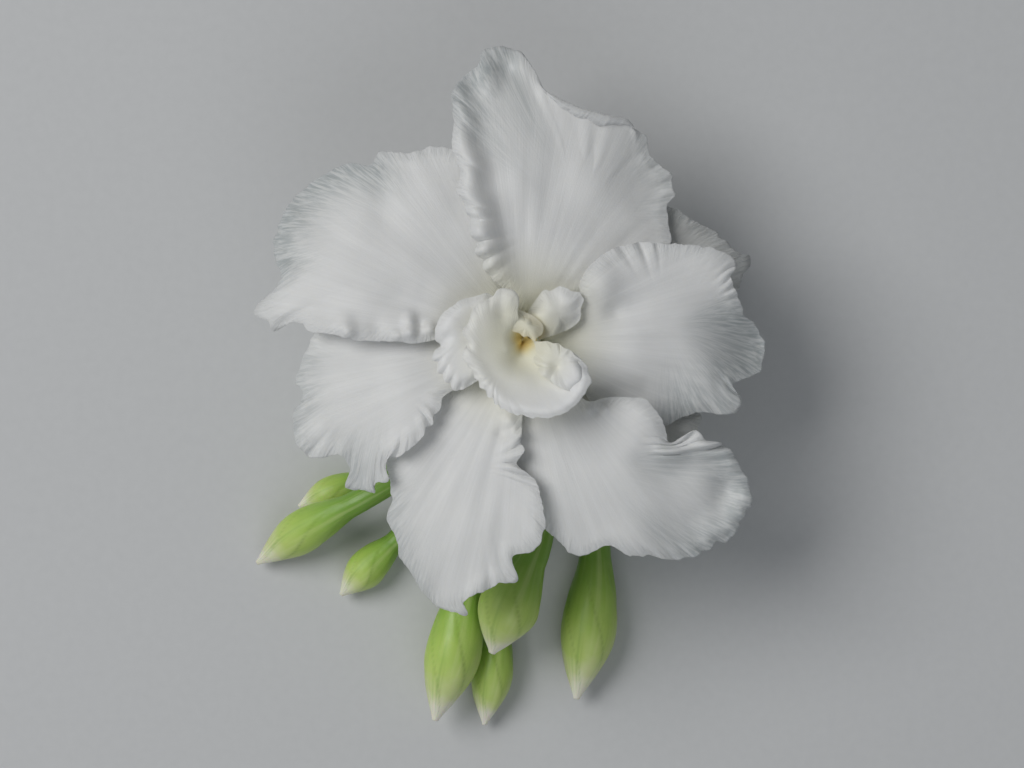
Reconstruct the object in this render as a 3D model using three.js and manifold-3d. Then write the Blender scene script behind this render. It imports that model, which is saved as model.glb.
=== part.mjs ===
// A picked cluster of double crepe jasmine: one open flower facing up, and the seven buds beside it.
// Millimetres, +Z up. The open flower's axis is vertical and everything rests on the plane z = 0.
import * as THREE from 'three';
import Module from 'manifold-3d';

const wasm = await Module();
wasm.setup();

// Driving sizes
const FLOWER_HEIGHT = 23;         // from the surface to the plane where the front petals spread
const BLADE = 0.75;               // thickness of a petal, measured upright
const CLEAR = 0.3;                // gap between pieces that touch
const TUBE_RADIUS = 1.9;          // corolla tube where it carries the petals
const THROAT_RADIUS = 1.25;
const THROAT_DEPTH = 6;
const TUBE_RIM = 1.9;             // the tube's rim above the front petals' plane
const CLAW_RADIUS = TUBE_RADIUS + CLEAR + 0.05;
const INNER_CLAW_RADIUS = 1.45;
const TUBE_FOOT = 5.3;            // where the calyx holds the corolla tube, above the surface
const TUBE_FOOT_RADIUS = 1.25;
const BUD_FOOT_RADIUS = 1;
const PEDUNCLE_RADIUS = 1.4;
const BRANCH_RADIUS = 1.05;
const PEDICEL_RADIUS = 0.75;

const DEGREE = Math.PI / 180;
const PETAL_ROWS = 18;
const PETAL_COLUMNS = 8;
const SMALL_PETAL_ROWS = 10;
const SMALL_PETAL_COLUMNS = 7;

const clamp01 = (x) => Math.min(1, Math.max(0, x));

function smooth(low, high, x) {
  const k = clamp01((x - low) / (high - low));
  return k * k * (3 - 2 * k);
}

// The spread of the flower: nearly flat at the tube, a low crown, then margins that bend back.
const SPREAD_CROWN = 1.1;
const SPREAD_FALL = 3.4;
const SPREAD_REACH = 28;

function spread(r) {
  return SPREAD_CROWN * smooth(2, 13, r) - SPREAD_FALL * (r / SPREAD_REACH) ** 3;
}

// Each petal is turned about its own rib, so that one edge rides over the next petal's edge.
const frontTilt = (r) => 1.3 + 0.045 * r;      // mm of rise per radian round the flower
const backTilt = (r) => 1.2 + 0.02 * r;
const backDrop = (r) => 3.05 + 0.045 * r;

// Outlines run from the claw to the tip along the under edge and the upper edge. Each point is the
// angle round the flower in degrees, counter-clockwise from +X, and the distance from its axis in mm.
const FRONT_PETALS = [
  {
    name: 'petal_right',
    rib: 5,
    under: [[-17, 2.2], [-34, 6], [-43, 11], [-38, 16], [-27, 19], [-21.3, 22.4], [-16.8, 24.5],
      [-12.2, 23.2], [-8, 25.6], [-3.5, 26.3]],
    upper: [[27, 2.2], [38, 5], [44, 8], [47.2, 10], [46.5, 12.3], [41, 15.5], [33, 18.7], [26.5, 22],
      [19, 24], [10.5, 23.5], [5, 24.8], [0.5, 26.2]],
    folds: 5,
    forms: [[9.3, 3.7, 1.1, 3.2], [20, 1, 0.7, 3]],
  },
  {
    name: 'petal_top',
    rib: 70,
    under: [[50, 2.2], [40, 6], [30, 11], [29, 16], [34, 19.5], [40, 20.4], [43.5, 22.7], [50, 23.9],
      [57, 24.7], [64, 26.3], [73.5, 25.4], [81, 26.1], [87.3, 29.1], [91, 31]],
    upper: [[92, 2.2], [106, 5], [116, 7.8], [115, 11.7], [113, 15.5], [110.2, 20.3], [107.3, 24.2],
      [105.5, 27.2], [99, 30], [95.5, 31.2]],
    folds: 6,
    forms: [[-3, 24, 0.9, 3.4], [4, 20, -0.7, 4]],
  },
  {
    name: 'petal_upper_left',
    rib: 137,
    under: [[119, 2.2], [110, 6], [102, 11], [100, 16], [104, 20.5], [112, 22], [120.8, 23.2],
      [127, 25.1], [131, 24.7], [138, 27.3], [146, 28.5], [154.5, 28.9]],
    upper: [[160, 2.2], [172, 5.5], [181, 9], [182, 12], [180.3, 17], [178, 21], [176, 24],
      [177.8, 26.5], [174, 28.3], [168, 26.9], [162, 27.4], [157.5, 29]],
    folds: 5,
    forms: [[-18, 4, 0.8, 4], [-17, 12, -0.5, 4]],
  },
  {
    name: 'petal_lower_left',
    rib: 196,
    under: [[178, 2.2], [170, 6], [166, 11], [168, 16], [173, 20.5], [180, 22.6], [187, 24],
      [192, 24.2], [198, 25.6], [203.5, 26.4]],
    upper: [[214, 2.2], [217, 6], [216, 10], [222, 13], [225, 16], [223, 19], [227, 21], [224, 23.3],
      [219.5, 24.4], [214.5, 22.9], [210.5, 25], [206.5, 26.3]],
    folds: 4,
    forms: [[-17, -5.5, -0.6, 4], [-21, -9.5, 0.6, 2.5]],
  },
  {
    name: 'petal_bottom',
    rib: 247,
    under: [[228, 2.2], [220, 6], [214, 11], [215, 16], [221, 19.5], [228, 21], [232.5, 23.8],
      [239, 25.8], [246, 28.2], [252.5, 29.9]],
    upper: [[266, 2.2], [270, 6], [270, 9], [269, 11], [268.5, 13], [275, 15], [277, 18],
      [275.3, 21.3], [268.5, 23.6], [268.3, 25.4], [261, 27.4], [257.5, 29.9]],
    folds: 5,
    forms: [[-6, -20, 0.8, 4], [-9, -13, -0.6, 3]],
  },
  {
    name: 'petal_lower_right',
    rib: 300,
    under: [[280, 2.2], [270, 6], [263, 11], [264, 16], [272, 19.5], [280, 21.8], [286, 23.9],
      [293, 23.9], [300, 26.6], [307, 29.3], [313, 30.2]],
    upper: [[316, 2.2], [318, 6], [317, 9.5], [327, 11.5], [333.5, 14.3], [330, 17], [325.5, 19],
      [331, 20.8], [332, 24], [330, 26.8], [326, 29.2], [321, 30.3], [316.8, 30.8]],
    folds: 5,
    forms: [[13, -8.5, 1.2, 3.2], [21, -16, -0.7, 3]],
  },
];

// The lower whorl, one outline for all: degrees from the rib, and the share of the petal's reach.
const BACK_PETALS = [[22, 26.2], [100, 21.5], [172, 21.5], [250, 21], [328, 21.5]];
const BACK_OUTLINE = [[19, 0], [29, 0.3], [32, 0.5], [29, 0.7], [21, 0.86], [10, 0.96], [2.5, 1]];

// The inner whorl: level is the height over the front petals' plane at the claw, rise the slope
// outwards, and wind the rise in mm per radian round the flower. Where nothing lies below it, from one
// angle to the other, a claw dips by so many mm to the tube's rim.
const INNER_PETALS = [
  {
    name: 'inner_petal_left',
    rib: 170,
    level: 2.65,
    rise: 0.24,
    wind: 0,
    dip: [0, 0, 0],
    under: [[120, 1.5], [118, 3], [121, 4.6], [128, 6.1], [141, 7.1], [152, 8], [164, 8.8], [173, 9.1]],
    upper: [[215, 1.5], [222, 3.5], [223, 6], [219, 8.4], [208, 9.1], [197, 9.3], [188, 9.4],
      [181, 8.8]],
  },
  {
    name: 'inner_petal_cup',
    rib: 235,
    level: 4.05,
    rise: 0.42,
    wind: 0.22,
    dip: [1.25, 235, 400],
    under: [[128, 1.5], [126, 2.8], [128, 4.2], [140, 5.5], [163, 5.8], [177, 5.9], [194, 6.4],
      [211, 6.2], [230, 6.7]],
    upper: [[345, 1.5], [349, 2.6], [350, 4.2], [342, 6.5], [331, 8.2], [315, 8.9], [295, 8.8],
      [274, 8.1], [252, 7.4]],
  },
  {
    name: 'inner_petal_curl',
    rib: 318,
    level: 5.85,
    rise: 0.42,
    wind: 0.22,
    dip: [1.25, 235, 400],
    under: [[272, 1.6], [280, 2.8], [288, 4], [297, 5.2], [306, 6.1]],
    upper: [[350, 1.6], [350, 2.6], [345, 4], [336, 5.6], [325, 6.6]],
  },
  {
    name: 'inner_petal_throat',
    rib: 92,
    level: 5,
    rise: 0.36,
    wind: 0.2,
    dip: [2, -30, 98],
    under: [[64, 1.5], [71, 2.4], [78, 3.4], [85, 4.4], [92, 5.1]],
    upper: [[150, 1.5], [140, 2.4], [128, 3.6], [117, 4.8], [106, 5.4]],
  },
  {
    name: 'inner_petal_lobe',
    rib: 34,
    level: 2.65,
    rise: 0.34,
    wind: 0.3,
    dip: [0, 0, 0],
    under: [[-3, 1.5], [0, 3], [7, 4.6], [18, 6.4], [30, 7.9]],
    upper: [[48, 1.5], [58, 2.6], [66, 4.2], [61, 6.4], [46, 7.9]],
  },
];

// Buds: the points that the middle line runs through, from the tip to the calyx, x, y from the open
// flower's axis and z from the surface, and the radius at the belly.
const BUDS = [
  { radius: 1.8, line: [[-25.2, -18.5, 1.6], [-21.5, -16.9, 1.72], [-15, -14.2, 2], [-7.2, -10.8, 2.4]] },
  { radius: 2.4, line: [[-29.9, -24.9, 1.5], [-24.4, -21.1, 3.4], [-18.1, -17.7, 6.8],
    [-8.2, -12.4, 6.8]] },
  { radius: 2.15, line: [[-20.4, -28.5, 1.8], [-17.4, -25.4, 2.05], [-13.4, -21.6, 2.6],
    [-4.8, -13.2, 3]] },
  { radius: 3.1, line: [[-9.7, -42.4, 4.4], [-7.6, -34.6, 5.2], [-6.3, -28.8, 5.4],
    [-2.4, -17.5, 4.4]] },
  { radius: 3.35, line: [[-3.3, -34.5, 8.2], [-1.4, -29.2, 9.4], [1.8, -21.9, 9.6],
    [4, -14.6, 7.6]] },
  { radius: 2.3, line: [[-4.2, -43.2, 1.8], [-3.3, -37.4, 2.2], [-2.3, -31, 2.2], [0.4, -18.6, 2.3]] },
  { radius: 3.1, line: [[6.2, -40.2, 2.5], [7.6, -31.9, 3], [8.3, -24, 3], [7.4, -13.6, 2.9]] },
];

// Share of the belly's radius along the head, from the tip to the neck.
const BUD_PROFILE = [[0, 0.07], [0.06, 0.2], [0.14, 0.4], [0.26, 0.7], [0.38, 0.91], [0.51, 1],
  [0.66, 0.93], [0.82, 0.72], [1, 0.5]];
const BUD_HEAD = 1.95;            // length of a head over the distance from its tip to its belly
const BUD_RINGS = 17;
const BUD_SIDES = 12;

// Forks of the cluster
const MAIN_FORK = [3.5, -7.2, 2.1];
const LEFT_FORK = [-2.2, -8.2, 2.8];
const RIGHT_FORK = [3.2, -11, 2.9];
const PEDUNCLE_LINE = [[13.8, 14.2, 1.05], [11.9, 6, 1.05], [8.4, -1.2, 1.4], MAIN_FORK];

const petalStuff = new THREE.MeshStandardMaterial({ color: 0xf3f3ef, roughness: 0.6, metalness: 0 });
const innerStuff = new THREE.MeshStandardMaterial({ color: 0xf1f0e2, roughness: 0.6, metalness: 0 });
const tubeStuff = new THREE.MeshStandardMaterial({ color: 0xd9dca6, roughness: 0.55, metalness: 0 });
const budStuff = new THREE.MeshStandardMaterial({ color: 0xa3bf4f, roughness: 0.45, metalness: 0 });
const stemStuff = new THREE.MeshStandardMaterial({ color: 0x4f7a2a, roughness: 0.5, metalness: 0 });

function meshOf(positions, faces) {
  const geometry = new THREE.BufferGeometry();
  geometry.setAttribute('position', new THREE.Float32BufferAttribute(positions, 3));
  geometry.setIndex(faces);
  geometry.computeVertexNormals();
  return geometry;
}

// A thin blade over a grid of points, with the same triangles on its upper and its lower face.
function blade(rows, columns, pointAt) {
  const positions = [];
  for (const side of [BLADE / 2, -BLADE / 2]) {
    for (let i = 0; i <= rows; i += 1) {
      for (let j = 0; j <= columns; j += 1) {
        const [x, y, z] = pointAt(i / rows, (2 * j) / columns - 1);
        positions.push(x, y, z + side);
      }
    }
  }
  const below = (rows + 1) * (columns + 1);
  const at = (i, j) => i * (columns + 1) + j;
  const faces = [];
  for (let i = 0; i < rows; i += 1) {
    for (let j = 0; j < columns; j += 1) {
      const [a, b, c, d] = [at(i, j), at(i + 1, j), at(i + 1, j + 1), at(i, j + 1)];
      faces.push(a, b, c, a, c, d);
      faces.push(a + below, c + below, b + below, a + below, d + below, c + below);
    }
  }
  const rim = [];
  for (let i = 0; i < rows; i += 1) rim.push(at(i, 0));
  for (let j = 0; j < columns; j += 1) rim.push(at(rows, j));
  for (let i = rows; i > 0; i -= 1) rim.push(at(i, columns));
  for (let j = columns; j > 0; j -= 1) rim.push(at(0, j));
  rim.forEach((p, k) => {
    const q = rim[(k + 1) % rim.length];
    faces.push(q, p, p + below, q, p + below, q + below);
  });
  return meshOf(positions, faces);
}

// A closed body through rings of equally many points, with a fan at each end.
function loft(rings, startPoint, endPoint) {
  const sides = rings[0].length;
  const positions = [...rings.flat(), startPoint, endPoint].flatMap((p) => [p.x, p.y, p.z]);
  const start = rings.length * sides;
  const last = (rings.length - 1) * sides;
  const faces = [];
  for (let i = 0; i < sides; i += 1) {
    const next = (i + 1) % sides;
    for (let k = 0; k < rings.length - 1; k += 1) {
      const [low, high] = [k * sides, (k + 1) * sides];
      faces.push(low + i, low + next, high + next, low + i, high + next, high + i);
    }
    faces.push(start, next, i, start + 1, last + i, last + next);
  }
  return meshOf(positions, faces);
}

// Rings round a curve. radiusAt gives the radius at each share of its length; nothing goes below z = 0.
function ringsAlong(curve, steps, sides, radiusAt) {
  const frames = curve.computeFrenetFrames(steps, false);
  const rings = [];
  for (let k = 0; k <= steps; k += 1) {
    const centre = curve.getPointAt(k / steps);
    const radius = radiusAt(k / steps);
    const ring = [];
    for (let i = 0; i < sides; i += 1) {
      const turn = (2 * Math.PI * i) / sides;
      const point = centre.clone();
      point.addScaledVector(frames.normals[k], radius * Math.cos(turn));
      point.addScaledVector(frames.binormals[k], radius * Math.sin(turn));
      point.z = Math.max(point.z, 0);
      ring.push(point);
    }
    rings.push(ring);
  }
  return rings;
}

function curveThrough(points) {
  return new THREE.CatmullRomCurve3(points.map(([x, y, z]) => new THREE.Vector3(x, y, z ?? 0)));
}

// The outline's edges as curves in which x is the angle, scaled to mm, and y the distance.
const ARC_SCALE = 0.35;           // mm for a degree, so that spacing along an edge stays even

function edgeCurve(points) {
  return curveThrough(points.map(([angle, r]) => [angle * ARC_SCALE, r]));
}

function petalPlan(under, upper) {
  const [low, high] = [edgeCurve(under), edgeCurve(upper)];
  return (s, t) => {
    const [a, b] = [low.getPointAt(s), high.getPointAt(s)];
    const share = (t + 1) / 2;
    const angle = (a.x + (b.x - a.x) * share) / ARC_SCALE;
    return { angle, r: a.y + (b.y - a.y) * share };
  };
}

const around = (angle, r, z) => [r * Math.cos(angle * DEGREE), r * Math.sin(angle * DEGREE), z];

function formHeight(forms, x, y) {
  return forms.reduce((sum, [fx, fy, height, width]) => {
    const far = ((x - fx) ** 2 + (y - fy) ** 2) / (width * width);
    return sum + height * Math.exp(-far);
  }, 0);
}

const FOLD_HEIGHT = 0.22;
const RUFFLE_HEIGHT = 0.42;
const RUFFLES = 7;
const PLEAT_HEIGHT = 0.25;        // the lower whorl's pleats and margins
const PLEATS = 11;
const ROLL_DOWN = 0.55;           // how far an inner petal's margin rolls over
const CRIMP_HEIGHT = 0.18;
const CRIMPS = 4;

function frontPetal({ rib, under, upper, folds, forms }) {
  const plan = petalPlan(under, upper);
  return blade(PETAL_ROWS, PETAL_COLUMNS, (s, t) => {
    const { angle, r } = plan(s, t);
    const off = (angle - rib) * DEGREE;
    const outer = smooth(9, 24, r);
    const free = smooth(-0.9, -0.1, t) * (1 - smooth(0.6, 1, t));
    const fold = FOLD_HEIGHT * Math.sin(folds * 2.2 * off) * free * smooth(5, 14, r);
    const edge = Math.abs(t) ** 3 * smooth(11, 18, r);
    const ruffle = RUFFLE_HEIGHT * edge * outer * Math.sin(2 * Math.PI * RUFFLES * s);
    const lip = 0.25 * smooth(0.4, 1, t) * smooth(8, 12, r);
    const [x, y] = around(angle, r, 0);
    const form = formHeight(forms, x, y) * smooth(-0.8, -0.2, t);
    const z = FLOWER_HEIGHT + spread(r) + frontTilt(r) * off + fold + ruffle + lip + form;
    return [x, y, z];
  });
}

function backPetal([rib, reach]) {
  const span = reach - CLAW_RADIUS;
  const edge = (sign) => BACK_OUTLINE.map(([off, share]) => (
    [rib + sign * off, CLAW_RADIUS + share * span]
  ));
  const plan = petalPlan(edge(-1), edge(1));
  return blade(SMALL_PETAL_ROWS, SMALL_PETAL_COLUMNS, (s, t) => {
    const { angle, r } = plan(s, t);
    const off = (angle - rib) * DEGREE;
    const pleat = PLEAT_HEIGHT * Math.sin(PLEATS * off) * smooth(6, 14, r);
    const edgeWave = Math.abs(t) ** 3 * Math.sin(2 * Math.PI * RUFFLES * s);
    const ruffle = PLEAT_HEIGHT * edgeWave * smooth(10, 16, r);
    const z = FLOWER_HEIGHT + spread(r) - backDrop(r) + backTilt(r) * off + pleat + ruffle;
    return around(angle, r, z);
  });
}

const DIP_EDGE = 12;              // degrees over which a dip begins and ends

function innerPetal({ rib, level, rise, wind, dip, under, upper }) {
  const [depth, from, to] = dip;
  const plan = petalPlan(under, upper);
  return blade(SMALL_PETAL_ROWS, SMALL_PETAL_COLUMNS + 1, (s, t) => {
    const { angle, r } = plan(s, t);
    const off = (angle - rib) * DEGREE;
    const margin = Math.max(smooth(0.72, 1, s), smooth(0.72, 1, Math.abs(t)) * smooth(3.5, 6, r));
    const crimp = CRIMP_HEIGHT * Math.sin(2 * Math.PI * CRIMPS * s) * Math.sign(t);
    const bowl = rise * (r - INNER_CLAW_RADIUS) + margin * (crimp - ROLL_DOWN);
    const after = smooth(from - DIP_EDGE, from + DIP_EDGE, angle);
    const before = 1 - smooth(to - DIP_EDGE, to + DIP_EDGE, angle);
    const claw = depth * after * before * (1 - smooth(INNER_CLAW_RADIUS, 4.5, r));
    return around(angle, r, FLOWER_HEIGHT + level + bowl + wind * off - claw);
  });
}

// The corolla tube: slender at the calyx, swollen where the stamens are, open at the throat.
const TUBE_PROFILE = [[0, 0], [2, 0.02], [6, 0.3], [9, 0.62], [12, 0.35], [14.5, 0.6]];
const TUBE_SIDES = 20;

function ringAt(radius, z, sides) {
  return Array.from({ length: sides }, (_, i) => {
    const turn = (2 * Math.PI * i) / sides;
    return new THREE.Vector3(radius * Math.cos(turn), radius * Math.sin(turn), z);
  });
}

function corollaTube() {
  const rim = FLOWER_HEIGHT + TUBE_RIM;
  const rings = TUBE_PROFILE.map(([up, swell]) => (
    ringAt(TUBE_FOOT_RADIUS + swell, TUBE_FOOT + up, TUBE_SIDES)
  ));
  rings.push(ringAt(TUBE_RADIUS, rim - 0.3, TUBE_SIDES));
  rings.push(ringAt(TUBE_RADIUS - 0.15, rim, TUBE_SIDES));
  rings.push(ringAt(THROAT_RADIUS, rim, TUBE_SIDES));
  rings.push(ringAt(THROAT_RADIUS * 0.8, rim - THROAT_DEPTH, TUBE_SIDES));
  const foot = new THREE.Vector3(0, 0, TUBE_FOOT);
  return loft(rings, foot, new THREE.Vector3(0, 0, rim - THROAT_DEPTH));
}

function profileAt(profile, share) {
  const after = profile.findIndex(([at]) => at >= share);
  if (after <= 0) return profile[after < 0 ? profile.length - 1 : 0][1];
  const [[a, low], [b, high]] = [profile[after - 1], profile[after]];
  return low + ((high - low) * (share - a)) / (b - a);
}

function bud({ radius, line }) {
  const curve = curveThrough(line);
  const length = curve.getLength();
  const [tip, belly] = line.map(([x, y, z]) => new THREE.Vector3(x, y, z));
  const head = BUD_HEAD * tip.distanceTo(belly);
  const rings = ringsAlong(curve, BUD_RINGS, BUD_SIDES, (share) => {
    const along = share * length;
    const shaped = radius * profileAt(BUD_PROFILE, Math.min(1, along / head));
    const tube = smooth(head, length - 3, along);
    return shaped + (BUD_FOOT_RADIUS - shaped) * tube;
  });
  return loft(rings, curve.getPointAt(0), curve.getPointAt(1));
}

// A calyx is a cup of five pointed sepals. It holds the foot of a corolla tube with a small gap.
const SEPAL_THICKNESS = 0.6;
const SEPAL_TOOTH = 1;
const CALYX_SIDES = 10;

function calyx(foot, outward, tubeRadius) {
  const inner = tubeRadius + CLEAR;
  const outer = inner + SEPAL_THICKNESS;
  const turn = new THREE.Quaternion().setFromUnitVectors(new THREE.Vector3(0, 0, 1), outward);
  const place = (p) => {
    p.applyQuaternion(turn).add(foot);
    p.z = Math.max(p.z, 0);
    return p;
  };
  const rim = (radius) => ringAt(radius, 0, CALYX_SIDES).map((p, i) => {
    p.z = 1.7 + (i % 2 ? SEPAL_TOOTH : 0);
    return p;
  });
  const rings = [
    ringAt(PEDICEL_RADIUS, -1.7, CALYX_SIDES),
    ringAt(outer * 0.82, -0.9, CALYX_SIDES),
    ringAt(outer, 0.3, CALYX_SIDES),
    rim(outer * 0.97),
    rim(inner),
    ringAt(inner, -CLEAR, CALYX_SIDES),
  ].map((ring) => ring.map(place));
  const start = place(new THREE.Vector3(0, 0, -1.7));
  return loft(rings, start, place(new THREE.Vector3(0, 0, -CLEAR)));
}

function stalk(points, startRadius, endRadius, steps, sides) {
  const curve = curveThrough(points);
  const rings = ringsAlong(curve, steps, sides, (share) => startRadius + (endRadius - startRadius) * share);
  return loft(rings, curve.getPointAt(0), curve.getPointAt(1));
}

function toSolid(geometry) {
  return new wasm.Manifold(new wasm.Mesh({
    numProp: 3,
    vertProperties: new Float32Array(geometry.attributes.position.array),
    triVerts: new Uint32Array(geometry.index.array),
  }));
}

function fromSolid(solid) {
  const { vertProperties, triVerts } = solid.getMesh();
  return meshOf(Array.from(vertProperties), Array.from(triVerts));
}

// The line of a pedicel from a fork to the back of a calyx, which it meets along the calyx's axis.
const PEDICEL_SINK = 1.5;         // how far behind a bud's foot the pedicel enters the calyx
const PEDICEL_LEAD = 3;

function pedicelLine(fork, foot, outward) {
  const back = foot.clone().addScaledVector(outward, -PEDICEL_SINK);
  const lead = foot.clone().addScaledVector(outward, -PEDICEL_LEAD);
  lead.z = Math.max(lead.z, PEDICEL_RADIUS);
  return [fork, lead.toArray(), back.toArray()];
}

function cymeStem() {
  const flowerFoot = new THREE.Vector3(0, 0, TUBE_FOOT);
  const up = new THREE.Vector3(0, 0, 1);
  const pieces = [
    stalk(PEDUNCLE_LINE, PEDUNCLE_RADIUS, PEDUNCLE_RADIUS * 0.9, 12, 10),
    stalk([MAIN_FORK, LEFT_FORK], BRANCH_RADIUS, BRANCH_RADIUS * 0.9, 3, 8),
    stalk([MAIN_FORK, RIGHT_FORK], BRANCH_RADIUS, BRANCH_RADIUS * 0.9, 3, 8),
    calyx(flowerFoot, up, TUBE_FOOT_RADIUS),
    stalk([MAIN_FORK, [2, -3.6, 1.6], [0.4, -0.9, 2], [0, 0, TUBE_FOOT - 1.4]], BRANCH_RADIUS, 0.9, 8, 8),
  ];
  BUDS.forEach(({ line }, index) => {
    const curve = curveThrough(line);
    const foot = curve.getPointAt(1);
    const outward = curve.getTangentAt(1).negate();
    const fork = index < 3 ? LEFT_FORK : RIGHT_FORK;
    pieces.push(calyx(foot, outward, BUD_FOOT_RADIUS));
    pieces.push(stalk(pedicelLine(fork, foot, outward), PEDICEL_RADIUS, PEDICEL_RADIUS, 6, 8));
  });
  return fromSolid(pieces.map(toSolid).reduce((whole, piece) => whole.add(piece)));
}

const cluster = new THREE.Group();

function place(name, geometry, material) {
  const mesh = new THREE.Mesh(geometry, material);
  mesh.name = name;
  cluster.add(mesh);
}

place('corolla_tube', corollaTube(), tubeStuff);
FRONT_PETALS.forEach((petal) => place(petal.name, frontPetal(petal), petalStuff));
BACK_PETALS.forEach((petal, i) => place(`back_petal_${i + 1}`, backPetal(petal), petalStuff));
INNER_PETALS.forEach((petal) => place(petal.name, innerPetal(petal), innerStuff));
BUDS.forEach((each, i) => place(`bud_${i + 1}`, bud(each), budStuff));
place('cyme_stem', cymeStem(), stemStuff);

// The origin is the middle of the whole cluster's outline, on the surface it rests on.
const box = new THREE.Box3().setFromObject(cluster);
const middle = box.getCenter(new THREE.Vector3());
cluster.position.set(-middle.x, -middle.y, -box.min.z);

export default cluster;
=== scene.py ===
"""A picked cluster of double crepe jasmine, lying on a surface with its open flower facing up."""

import bpy
import numpy as np
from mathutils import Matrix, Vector


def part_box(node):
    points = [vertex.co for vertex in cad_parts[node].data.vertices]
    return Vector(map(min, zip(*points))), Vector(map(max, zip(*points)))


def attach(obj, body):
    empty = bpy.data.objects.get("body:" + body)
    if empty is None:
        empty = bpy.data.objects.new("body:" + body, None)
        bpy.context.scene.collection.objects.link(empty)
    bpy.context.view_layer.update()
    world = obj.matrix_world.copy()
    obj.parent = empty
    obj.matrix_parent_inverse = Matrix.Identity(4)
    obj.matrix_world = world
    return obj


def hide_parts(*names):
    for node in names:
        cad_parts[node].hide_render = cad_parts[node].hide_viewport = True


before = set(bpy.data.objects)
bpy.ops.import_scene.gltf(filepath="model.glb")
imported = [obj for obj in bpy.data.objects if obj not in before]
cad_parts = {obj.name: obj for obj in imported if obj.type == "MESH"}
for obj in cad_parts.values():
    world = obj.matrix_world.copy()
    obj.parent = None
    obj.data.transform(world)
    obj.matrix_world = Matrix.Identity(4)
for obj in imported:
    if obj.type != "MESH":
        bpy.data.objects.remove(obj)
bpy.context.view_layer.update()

# The flower's place, read from the corolla tube of the frame. Lengths below are in millimetres.
MM = 0.001
TUBE_RIM = 1.9  # the tube's rim above the plane where the front petals spread
TUBE_RADIUS = 1.9
tube_low, tube_high = (np.array(corner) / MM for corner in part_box("corolla_tube"))
AXIS_X, AXIS_Y = (tube_low[:2] + tube_high[:2]) / 2
FLOWER_Z = tube_high[2] - TUBE_RIM
TUBE_FOOT_Z = tube_low[2]

BLADE, INNER_BLADE = 0.3, 0.24  # thickness of the petals, and of those of the inner whorl
RIM_SHARE, RIM_WIDTH = 0.2, 1.2  # share of that thickness left at a margin, and where it is full again

# How the flower spreads, as in the solids: a low crown, then margins that bend back.
SPREAD_CROWN, SPREAD_FALL, SPREAD_REACH = 1.1, 3.4, 28
CLAW_DROP = 1.7  # how far the petals' claws bend down along the tube
CLAW_RADIUS = 2.0

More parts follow.
